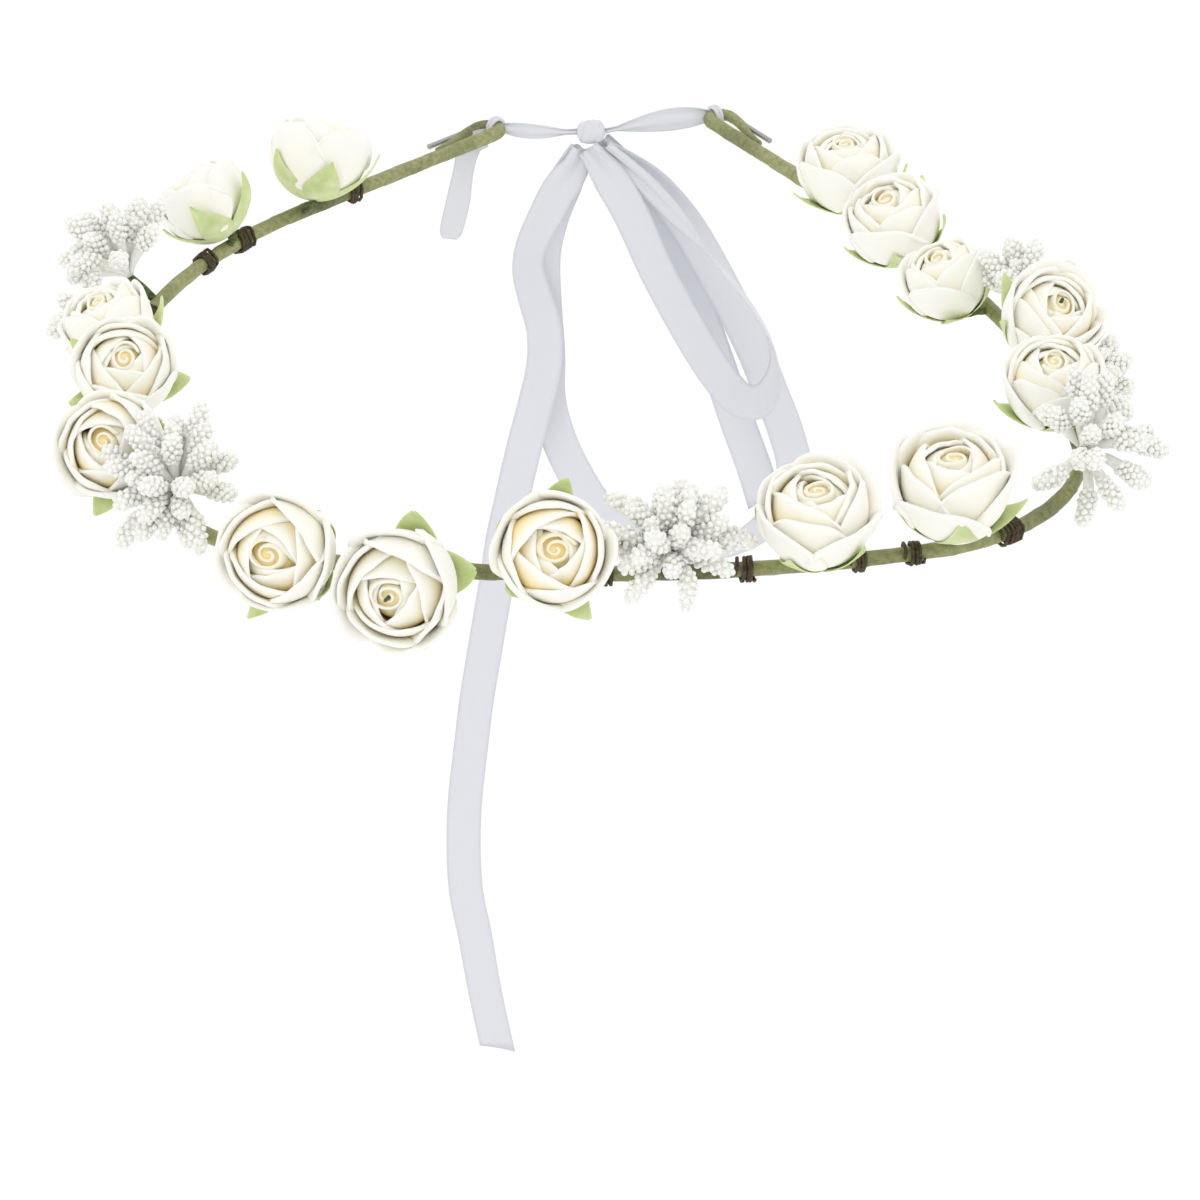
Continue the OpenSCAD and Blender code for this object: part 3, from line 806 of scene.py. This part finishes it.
def makeStems():
    fixed = bmesh.new()
    for number, row in enumerate(roses, 1):
        moving = number in bendable
        bm = bmesh.new() if moving else fixed
        points = stemPoints(row, (1.8 if moving else 1.2) * mm)
        tube(bm, points, [(0.75 + 0.1 * math.sin(k * 2.1)) * mm for k in range(9)], 8)
        if moving:
            finishPiece("roseStem%02d" % number, bm, [stemMaterial], "rose_head_%d" % number,
                        ("stem_%d" % number,))
    finishPiece("fixedStems", fixed, [stemMaterial], "root", ("fixed_stems",))


for number, row in enumerate(roses, 1):
    makeRose(number, row)
    makeCalyx(number, row)
makeStems()
print("roses made")


tufts = [
    (-184, 6, 5, 26, -6), (-167, 4, 2, 82, 0), (-86, -1, 6, 38, -17), (15, 3, 6, 30, 4),
    (114, 0, 5, 40, -30), (149, 5, 2, 78, -8), (176, 1, 5, 25, 8)]
# Each tuft: how many stamens it has, their length in mm, the half angle that they fan over, and
# the share of each thread that is bare
tuftFans = [(20, 19, 58, 0.6), (12, 14, 56, 0.5), (26, 17.5, 84, 0.58), (30, 18, 76, 0.46),
            (22, 17.5, 86, 0.62), (11, 12, 60, 0.5), (18, 15.5, 60, 0.5)]
tuftLook = {"foot": 0.38, "swell": 1.2, "end": 0.8, "beads": 46, "bead": 0.6, "head": 1.6}


def makeBeadShape():
    shape = bmesh.new()
    bmesh.ops.create_uvsphere(shape, u_segments=7, v_segments=5, radius=1.0)
    return shape


def addBead(bm, shape, centre, radius, chance):
    turn = Matrix.Rotation(chance.uniform(0, 6.28), 3, "Z") @ Matrix.Rotation(chance.uniform(0, 3.1), 3, "X")
    squash = chance.uniform(0.85, 1.15)
    copies = {}
    for vertex in shape.verts:
        spot = turn @ Vector((vertex.co.x, vertex.co.y, vertex.co.z * squash))
        copies[vertex] = bm.verts.new(centre + spot * radius)
    for face in shape.faces:
        made = bm.faces.new([copies[v] for v in face.verts])
        made.material_index = 1


def makeTuft(number, row):
    look = tuftLook
    count, size, fan, bare = tuftFans[number - 1]
    chance = random.Random(1300 + number)
    matrix = planted(*row)
    spread = 1 - math.cos(math.radians(fan))
    bm = bmesh.new()
    shape = makeBeadShape()
    for k in range(count):
        polar = math.acos(1 - spread * (k + 0.5) / count) + chance.uniform(-0.12, 0.12)
        angle = golden * k + chance.uniform(-0.3, 0.3)
        length = size * chance.uniform(0.74, 1.08) * mm
        sway = chance.uniform(-0.25, 0.25)
        droop = chance.uniform(-0.12, 0.2)
        points = []
        radii = []
        for step in range(11):
            share = step / 10
            bend = polar * (0.7 + 0.3 * share) + droop * share * share
            reach = length * (0.04 + 0.9 * share)
            turn = angle + sway * share * share
            points.append(Vector((reach * math.sin(bend) * math.cos(turn),
                                  reach * math.sin(bend) * math.sin(turn),
                                  reach * math.cos(bend))))
            swell = math.sin(min(1.0, share / bare) * math.pi / 2) ** 1.5
            radii.append((look["foot"] + (look["swell"] - look["foot"]) * swell) * mm)
        radii[-1] = look["end"] * mm
        tube(bm, points, radii, 8)
        for bead in range(look["beads"]):
            part = (bead + 0.5) / look["beads"]
            share = bare - 0.04 + (1.04 - bare) * part
            at = min(9, int(share * 10))
            middle = points[at].lerp(points[at + 1], share * 10 - at)
            ahead = (points[at + 1] - points[at]).normalized()
            side = ahead.orthogonal().normalized()
            over = ahead.cross(side)
            turn = golden * bead
            plump = math.sqrt(math.sin(math.pi * (0.12 + 0.8 * part)))
            out = look["head"] * mm * plump * chance.uniform(0.85, 1.12)
            if part > 0.95:
                out *= 0.35
            centre = middle + out * (math.cos(turn) * side + math.sin(turn) * over)
            addBead(bm, shape, centre, look["bead"] * mm * chance.uniform(0.85, 1.15), chance)
    shape.free()
    bmesh.ops.transform(bm, matrix=matrix, verts=bm.verts[:])
    place = hoopAt(row[0])[0]
    foot = matrix.translation
    way = (foot - place).normalized()
    stub = [place + way * 1.2 * mm, place.lerp(foot, 0.6), foot + way * 0.8 * mm]
    tube(bm, stub, [0.9 * mm, 1.0 * mm, 0.7 * mm], 8, 2)
    finishPiece("stamenTuft%02d" % number, bm, [threadMaterial, beadMaterial, stemMaterial],
                "root", ("stamens_%d" % number,))


for number, row in enumerate(tufts, 1):
    makeTuft(number, row)
print("stamens made")


knotLook = {"centre": (0, 113, 0), "radius": 2.5, "half": 3.1}


def eyeTip(sign):
    place, along, outward = hoopAt(sign * sideLength[sign])
    return place + hoop["eye"] * mm * (outward + along), along, outward


def makeSpan(name, sign, tall, stands, seed):
    tip, along, outward = eyeTip(sign)
    knot = Vector(knotLook["centre"]) * mm
    far = knot + Vector((sign * 2.6 * mm, 0, 0))
    chance = random.Random(seed)
    phase = chance.uniform(0, 6)

    def place(u, v):
        spot = tip.lerp(far, v) + Vector((0, 0, 1)) * 0.6 * mm * math.sin(v * math.pi) * sign
        wide = tall * (0.24 + 0.76 * math.sin(math.pi * min(1, v * 1.15) ** 0.8) ** 0.9) * mm
        wide = max(wide, 1.3 * mm)
        fold = math.sin(u * 3 * math.pi + phase) * 0.7 * mm * (1 - 0.5 * math.sin(math.pi * v))
        return spot + Vector((0, fold, (u - 0.5) * wide))

    bm = bmesh.new()
    uv = bm.loops.layers.uv.verify()
    spots = dict(bentSheet(bm, 10, 24, place))
    for face in bm.faces:
        for loop in face.loops:
            u, v = spots[loop.vert]
            loop[uv].uv = (u, v * (far - tip).length / (8 * mm))
    # the turn of ribbon through the eye
    for k in range(2):
        loopPoints = []
        for step in range(19):
            turn = 2 * math.pi * step / 18
            loopPoints.append(tip + (hoop["radius"] + 0.45) * mm
                              * (math.cos(turn) * along + math.sin(turn) * Vector((0, 0, 1)))
                              + outward * (k - 0.5) * 0.9 * mm)
        tube(bm, loopPoints, [0.42 * mm] * 19, 8)
    piece = finishPiece(name, bm, [organzaMaterial], "root", stands, recalc=False)
    thicken(piece, ribbonLook["thickness"], 0, 0)


makeSpan("ribbonLeftSpan", -1, 3.6, ("ribbon_left_span",), 31)
makeSpan("ribbonRightSpan", 1, 5.6, ("ribbon_right_span",), 32)


# The knot: a pillow of gathered ribbon with a flat turn over its middle
def makeKnot():
    look = knotLook
    centre = Vector(look["centre"]) * mm
    bm = bmesh.new()
    uv = bm.loops.layers.uv.verify()

    def pillow(u, v):
        turn = 2 * math.pi * v
        off = (u - 0.5) * 2
        swell = math.sqrt(max(0.0, 1 - abs(off) ** 2.6))
        reach = look["radius"] * mm * (0.25 + 0.75 * swell) * (1 + 0.06 * math.sin(5 * turn + 2 * off))
        return centre + Vector((off * look["half"] * mm, reach * math.cos(turn), reach * math.sin(turn)))

    def wrap(u, v):
        turn = 2 * math.pi * v
        off = (u - 0.5) * 2
        reach = look["radius"] * mm * (1.03 + 0.04 * math.sin(9 * off + turn)) - off * off * 0.25 * mm
        slant = 0.5 * mm * math.sin(turn + 0.6)
        return centre + Vector((off * 1.7 * mm + slant, reach * math.cos(turn), reach * math.sin(turn)))

    spots = dict(bentSheet(bm, 12, 28, pillow))
    spots.update(dict(bentSheet(bm, 8, 28, wrap)))
    for face in bm.faces:
        for loop in face.loops:
            u, v = spots[loop.vert]
            loop[uv].uv = (u, v * 2.6)
    bmesh.ops.remove_doubles(bm, verts=bm.verts[:], dist=0.00001)
    piece = finishPiece("ribbonKnot", bm, [organzaMaterial], "root", ("ribbon_knot",),
                        recalc=False)
    thicken(piece, ribbonLook["thickness"], 0, 0)


makeKnot()

endFoot = eyeTip(-1)[0] / mm
shortEnd = [
    (endFoot.x - 2.0, endFoot.y - 2.2, -1.6, 2.4, 0), (endFoot.x - 5.5, endFoot.y - 3.6, -2.8, 3, 0),
    (endFoot.x - 7, endFoot.y - 4.5, -8, 2.4, 0), (endFoot.x - 8.4, endFoot.y - 4.8, -16, 3, 0),
    (endFoot.x - 10, endFoot.y - 5, -23, 2.8, 0), (endFoot.x - 10.3, endFoot.y - 5, -25, 1.2, 0)]
ribbonStrip("ribbonLeftEnd", shortEnd, "root", ("ribbon_left_end",), 40, None)
print("bow tied")


def makeStudio():
    studio = {"floor": -0.262, "size": 6.0, "sky": 1.0}
    bm = bmesh.new()
    bmesh.ops.create_grid(bm, x_segments=1, y_segments=1, size=studio["size"])
    bmesh.ops.translate(bm, verts=bm.verts[:], vec=(0, 0, studio["floor"]))
    mesh = bpy.data.meshes.new("floor")
    bm.to_mesh(mesh)
    bm.free()
    floor = bpy.data.objects.new("floor", mesh)
    scene.collection.objects.link(floor)
    material, _, shader = newMaterial("whitePaperSweep")
    shader.inputs["Base Color"].default_value = srgb("#FCFCFC")
    shader.inputs["Roughness"].default_value = 0.9
    mesh.materials.append(material)
    world = bpy.data.worlds.new("studio")
    world.use_nodes = True
    back = world.node_tree.nodes["Background"]
    back.inputs["Color"].default_value = (1, 1, 1, 1)
    back.inputs["Strength"].default_value = studio["sky"]
    scene.world = world
    lamps = [("key", (-0.7, -0.9, 1.3), 2.0, 0.7), ("fill", (1.1, -0.7, 0.7), 0.8, 1.2),
             ("back", (0.2, 1.2, 1.0), 0.6, 1.0)]
    for name, place, power, size in lamps:
        lamp = bpy.data.lights.new(name, "AREA")
        lamp.energy = power
        lamp.size = size
        holder = bpy.data.objects.new(name, lamp)
        holder.location = place
        holder.rotation_euler = Vector(place).to_track_quat("Z", "Y").to_euler()
        scene.collection.objects.link(holder)


makeStudio()
